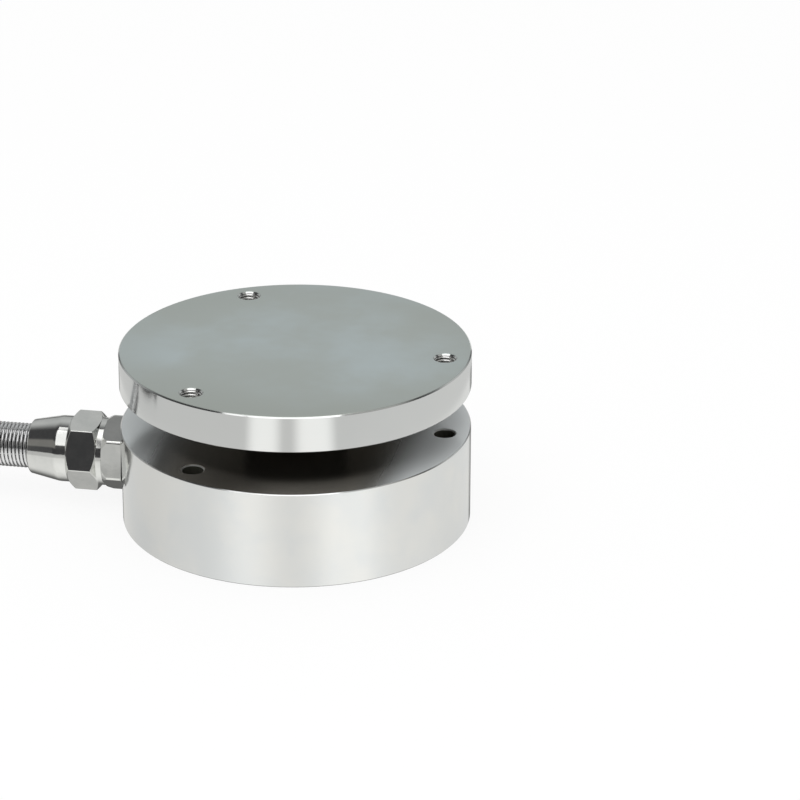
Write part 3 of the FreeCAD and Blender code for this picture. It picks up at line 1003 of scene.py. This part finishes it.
soften(strap, tie_round)
join(strap, lock, tail)
black_nylon = Finish("black_nylon")
sheen = black_nylon.clouds(0.004)
black_nylon.show_on(
    strap,
    Base_Color=black_nylon.blend(sheen, (0.02, 0.02, 0.021, 1), (0.036, 0.036, 0.038, 1)),
    Roughness=0.38 + 0.16 * sheen,
    Normal=black_nylon.bump(black_nylon.clouds(0.0005), 0.00001),
)
only(strap)
bpy.ops.object.duplicate()
cable_ties = [strap, bpy.context.object]
for number, (tie, angle) in enumerate(zip(cable_ties, tie_angles), start=1):
    tie.name = f"cable_tie_{number}"
    put(tie, coil_centre, (0, 0, angle))
    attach(tie, "root")
    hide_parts(f"coil_tie_{number}")

# Stripped end
# The cable ends bare on top of the coil: a shrunk sleeve over the end of the jacket, four coloured leads
# and the drain wire, each with its strands twisted and tinned.

sleeve_bore = 0.0028
sleeve_wall = 0.0004
sleeve_neck = 0.0019
sleeve_start = 0.003
sleeve_end = 0.014
neck_start, neck_full = 0.0083, 0.0108
neck_steps = 6
sleeve_round = 0.0001
sleeve_sides = 48
core_radius = 0.0006
drain_radius = 0.0004
core_offset = 0.00075
lead_start = 0.0082
lead_length = 0.024
lead_fan = 0.002
lead_drop = 0.0016
lead_straight = 0.0085
lead_last = 0.006
tip_radius = 0.00035
tip_length = 0.0055
tip_steps = 12
tip_twist = math.radians(20)
strand_count = 6
strand_valley = 0.8
tip_point = 0.6
# Each lead: its side and its height in the bundle, then its place in the fan
lead_layout = {
    "red": (1, 1, 1),
    "black": (-1, 1, -1),
    "green": (1, -1, 2),
    "white": (-1, -1, -2),
    "drain": (0, 0, 0),
}


def set_on_coil(piece):
    """Sets down a piece that was made at the coil's end, along Y."""
    put(piece, coil_centre, (0, 0, end_angle))


end_place = Vector((end_tangent, 0, leg_height))
neck_outline = []
for step in range(neck_steps + 1):
    share = step / neck_steps
    bore = sleeve_bore + (sleeve_neck - sleeve_bore) * ease(share)
    neck_outline.append((bore, neck_start + (neck_full - neck_start) * share))
outer_outline = [(bore + sleeve_wall, up) for bore, up in neck_outline]
shrunk_sleeve = turn_outline("shrunk_sleeve", [
    (sleeve_bore, sleeve_start),
    *neck_outline,
    (sleeve_neck, sleeve_end),
    (sleeve_neck + sleeve_wall, sleeve_end),
    *reversed(outer_outline),
    (sleeve_bore + sleeve_wall, sleeve_start),
], sleeve_sides)
soften(shrunk_sleeve, sleeve_round)
put(shrunk_sleeve, end_place, (-math.pi / 2, 0, 0))
set_on_coil(shrunk_sleeve)
shrink = Finish("shrink_tube")
ripple = shrink.clouds(0.0015)
shrink.show_on(
    shrunk_sleeve,
    Base_Color=shrink.blend(ripple, (0.01, 0.01, 0.011, 1), (0.02, 0.02, 0.021, 1)),
    Roughness=0.5 + 0.15 * ripple,
    Normal=shrink.bump(ripple, 0.00005),
)
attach(shrunk_sleeve, "root")
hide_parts("end_sleeve")

bare_tips = []
for colour, (side, rise, fan) in lead_layout.items():
    lead_direction = Vector((fan * lead_fan, lead_length, -lead_drop)).normalized()
    first_point = end_place + Vector((side * core_offset, lead_start, rise * core_offset))
    last_point = first_point + lead_direction * lead_length
    lead_points = [
        first_point,
        first_point + Vector((0, lead_straight, 0)),
        last_point - lead_direction * lead_last,
        last_point,
    ]
    lead = smooth_wire(f"bare_{colour}", lead_points, drain_radius if colour == "drain" else core_radius)
    only(lead)
    bpy.ops.object.convert(target="MESH")
    set_on_coil(lead)
    lead_finish = tin if colour == "drain" else insulation[colour]
    lead_finish.put_on(lead)
    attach(lead, "root")
    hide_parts(f"lead_{colour}")

    bpy.ops.object.select_all(action="DESELECT")
    bpy.ops.mesh.primitive_circle_add(vertices=2 * strand_count, radius=tip_radius, fill_type="NGON")
    tip = bpy.context.object
    bpy.ops.object.mode_set(mode="EDIT")
    bpy.ops.mesh.select_mode(type="VERT")
    bpy.ops.mesh.select_all(action="DESELECT")
    strands = bmesh.from_edit_mesh(tip.data)
    for number, point in enumerate(strands.verts):
        point.select_set(number % 2 == 0)
    bmesh.update_edit_mesh(tip.data)
    bpy.ops.transform.resize(value=(strand_valley, strand_valley, 1))
    bpy.ops.mesh.select_all(action="SELECT")
    for step in range(tip_steps):
        bpy.ops.mesh.extrude_region_move(TRANSFORM_OT_translate={"value": (0, 0, tip_length / tip_steps)})
        bpy.ops.transform.rotate(value=tip_twist, orient_axis="Z", center_override=(0, 0, 0))
    bpy.ops.transform.resize(value=(tip_point, tip_point, 1), center_override=(0, 0, tip_length))
    close_up(tip)
    put(tip, last_point, lead_direction.to_track_quat("Z", "Y").to_euler())
    set_on_coil(tip)
    bare_tips.append(tip)

join(*bare_tips)
tinned_tips = bare_tips[0]
tinned_tips.name = "tinned_tips"
bpy.ops.object.shade_smooth_by_angle(angle=sharp_angle)
tin.put_on(tinned_tips)
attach(tinned_tips, "root")
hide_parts("lead_tips")

# Floor
# A plain white table top. It shows white to the camera, keeps part of its own shading for the cell's soft
# shadow, and is clear from below. The metal mirrors the studio's light in it near the cell; further out the
# table glows for mirrored rays only, with two painted strips of light on the side of the camera and a
# painted shadow straight behind.

floor_size = 6.0
floor_white_share = 0.88
view_azimuth = math.radians(10)
# Each strip: its turn from the camera and its half width, in degrees
strips = [(-15.5, 6.5), (11.7, 8.5)]
strip_soft_edge = 4.5
strips_start = 0.129
strips_blend = 0.004
strip_strength = 0.38
far_floor_light = 0.6
far_floor_right = 0.05
patch_edge = (0.95, 0.985)
patch_strength = 0.8


def towards(finish, look, turn_from_camera):
    """How far a direction points to a side, from -1 to 1. The side is given by its turn from the camera."""
    turn = view_azimuth + math.radians(turn_from_camera)
    sockets = {0: look, 1: (math.sin(turn), -math.cos(turn), 0)}
    return finish.node("ShaderNodeVectorMath", {"operation": "DOT_PRODUCT"}, sockets, output="Value")


bpy.ops.object.select_all(action="DESELECT")
bpy.ops.mesh.primitive_plane_add(size=floor_size)
floor = bpy.context.object
floor.name = "floor"
table = Finish("table_white")
table.plug(table.shader, {"Base Color": (0.95, 0.95, 0.95, 1), "Roughness": 0.9})
seen = table.node("ShaderNodeLightPath", output="Is Camera Ray")
mirrored = table.node("ShaderNodeLightPath", output="Is Glossy Ray")
through = table.node("ShaderNodeLightPath", output="Is Transmission Ray")
below = table.node("ShaderNodeNewGeometry", output="Backfacing")
glow = table.node("ShaderNodeEmission", {}, {"Color": (1, 1, 1, 1), "Strength": 1.0})
clear = table.node("ShaderNodeBsdfTransparent")
from_cell = table.node("ShaderNodeVectorMath", {"operation": "NORMALIZE"}, {0: table.place()})
# Painted light and shadow, seen only by mirrored rays: two strips of light and a shadow straight behind the
# cell.
strip_light = far_floor_light + far_floor_right * towards(table, from_cell, 90).larger(0.0)
for middle, half_width in strips:
    outside = math.cos(math.radians(half_width + strip_soft_edge))
    inside = math.cos(math.radians(half_width - strip_soft_edge))
    strip = table.step(abs(towards(table, from_cell, middle)), outside, inside)
    strip_light = strip_strength * strip + strip_light
shadow_patch = table.step(towards(table, from_cell, 180), *patch_edge)
strip_light = strip_light * (1 - patch_strength * shadow_patch)
strip_colour = table.blend(strip_light, (0, 0, 0, 1), (1, 1, 0.99, 1))
strip_glow = table.node("ShaderNodeEmission", {}, {"Color": strip_colour, "Strength": 1.0})
distance = table.length_across((1, 1, 0))
far_out = table.step(distance, strips_start - strips_blend, strips_start + strips_blend)
mirror_view = table.node("ShaderNodeMixShader", {}, {0: far_out, 1: clear, 2: strip_glow})
shown = seen.larger(through) * floor_white_share
shading = Socket(table, table.shader.outputs[0])
surface = table.node("ShaderNodeMixShader", {}, {0: shown, 1: shading, 2: glow})
surface = table.node("ShaderNodeMixShader", {}, {0: mirrored, 1: surface, 2: mirror_view})
surface = table.node("ShaderNodeMixShader", {}, {0: below, 1: surface, 2: clear})
table.plug(table.tree.nodes["Material Output"], {"Surface": surface})
table.put_on(floor)

# Studio
# Soft light all round, a pale wall behind the cell, a dark room with lighter sides behind the camera, and
# two soft boxes, overhead and on the left. Below the horizon the metal mirrors a white table with three
# brighter pools of light, which is dark at the foot of the cell's back and straight behind it.

# Each pool: its turn from the camera in degrees, its tightness and its strength
pools = [(-31, 16, 0.22), (35, 12, 0.26), (-68, 9, 0.06)]
table_start = 0.735
table_right = 0.06
# Stretches over which the studio changes: upwards from -1 straight down to 1 straight up, or towards a side
horizon = (-0.05, 0.02)
far_table_rise = (-0.26, -0.10)
foot_rise = (-0.4, -0.6)
foot_back = (-0.05, 0.6)
patch_rise = (-0.6, -0.45)
wall_right = (0.4, 0.8)
wall_left = (0.7, 0.95)
wall_top = (0.56, 0.46)
far_wall_foot = (0.06, 0.3)
far_wall_back = (0.15, 0.75)
# Each lighter side of the room: its turn from the camera in degrees, the stretches over which it begins to
# the side, begins upwards and ends upwards, and its colour
lighter_sides = [
    (-56, (0.85, 0.97), (0.27, 0.36), (0.68, 0.6), (0.21, 0.205, 0.195, 1)),
    (62, (0.75, 0.92), (0.5, 0.6), (0.95, 0.88), (0.4, 0.4, 0.39, 1)),
]
world = bpy.data.worlds.new("studio")
bpy.context.scene.world = world
world.use_nodes = True


class Backdrop(Finish):
    """The world's nodes, made in the same way as a material's."""

    def __init__(self, made_world):
        self.tree = made_world.node_tree
        self.shader = self.tree.nodes["Background"]


room = Backdrop(world)
look = room.node("ShaderNodeTexCoord", output="Generated")
level = room.node("ShaderNodeVectorMath", {"operation": "MULTIPLY"}, {0: look, 1: (1, 1, 0)})
level = room.node("ShaderNodeVectorMath", {"operation": "NORMALIZE"}, {0: level})
height = room.node("ShaderNodeSeparateXYZ", {}, {0: look}, output="Z")
backwards = towards(room, look, 180)

table_light = table_start + table_right * towards(room, level, 90)
for turn, tightness, strength in pools:
    table_light = table_light + strength * towards(room, level, turn).larger(0.0) ** tightness
far_table = room.step(height, *far_table_rise)
foot = room.step(height, *foot_rise) * room.step(backwards, *foot_back)
shadow_patch = room.step(towards(room, level, 180), *patch_edge) * room.step(height, *patch_rise)
table_light = table_light * (0.86 - 0.36 * height) * (1 - 0.55 * far_table)
table_light = table_light * (1 - 0.82 * foot) * (1 - 0.75 * shadow_patch)
table_colour = room.blend(table_light, (0, 0, 0, 1), (1, 1, 0.985, 1))

front = (0.05, 0.05, 0.052, 1)
for turn, sideways, start, end, colour in lighter_sides:
    side = room.step(towards(room, level, turn), *sideways)
    side = side * room.step(height, *start) * room.step(height, *end)
    front = room.blend(side, front, colour)
walls = room.step(towards(room, look, 90), *wall_right) + room.step(towards(room, look, -90), *wall_left)
front = room.blend(walls * room.step(height, *wall_top), front, (0.5, 0.5, 0.49, 1))

far_light = (0.38 + 0.28 * height) * (0.35 + 0.65 * room.step(height, *far_wall_foot))
far_wall = room.blend(far_light, (0, 0, 0, 1), (0.98, 1, 1, 1))
room_colour = room.blend(room.step(backwards, *far_wall_back), front, far_wall)
backdrop = room.blend(room.step(height, *horizon), table_colour, room_colour)
seen = room.node("ShaderNodeLightPath", output="Is Camera Ray")
mirrored = room.node("ShaderNodeLightPath", output="Is Glossy Ray")
light = room.blend(seen.larger(mirrored), (0.8, 0.8, 0.8, 1), backdrop)
room.plug(room.shader, {"Color": light, "Strength": 1.0})

# Each soft box: its turn from the camera, its tilt to the front and its lean to the right, in degrees, then
# its distance, width, length and power
soft_boxes = {
    "overhead_box": (0, 17, 0, 1.0, 0.7, 1.2, 3.4),
    "side_box": (-10, 30, -21, 0.94, 0.16, 0.9, 0.52),
}
for name, (turn, tilt, lean, distance, width, length, power) in soft_boxes.items():
    lamp = bpy.data.lights.new(name, "AREA")
    lamp.shape = "RECTANGLE"
    lamp.size = width
    lamp.size_y = length
    lamp.energy = power
    box = bpy.data.objects.new(name, lamp)
    bpy.context.scene.collection.objects.link(box)
    box.matrix_world = (
        Matrix.Rotation(view_azimuth + math.radians(turn), 4, "Z")
        @ Matrix.Rotation(math.radians(tilt), 4, "X")
        @ Matrix.Rotation(math.radians(lean), 4, "Y")
        @ Matrix.Translation((0, 0, distance))
    )

# Camera
# A long lens at the place and tilt that the photograph was taken from, which were found from the rims and
# the holes of the cell.

view_elevation = math.radians(23.04)
view_roll = math.radians(0.156)
view_distance = 1.0662
view_lens = 154.36
view_sensor = 36.0
view_target = Vector((0.01494, 0.08621, 0))
camera_data = bpy.data.cameras.new("photo_view")
camera_data.lens = view_lens
camera_data.sensor_width = view_sensor
camera = bpy.data.objects.new("photo_view", camera_data)
bpy.context.scene.collection.objects.link(camera)
turned = Matrix.Rotation(view_azimuth, 4, "Z") @ Matrix.Rotation(math.pi / 2 - view_elevation, 4, "X")
camera.matrix_world = (
    Matrix.Translation(view_target)
    @ turned
    @ Matrix.Rotation(view_roll, 4, "Z")
    @ Matrix.Translation((0, 0, view_distance))
)
bpy.context.scene.camera = camera

bpy.context.scene.view_settings.view_transform = "Standard"
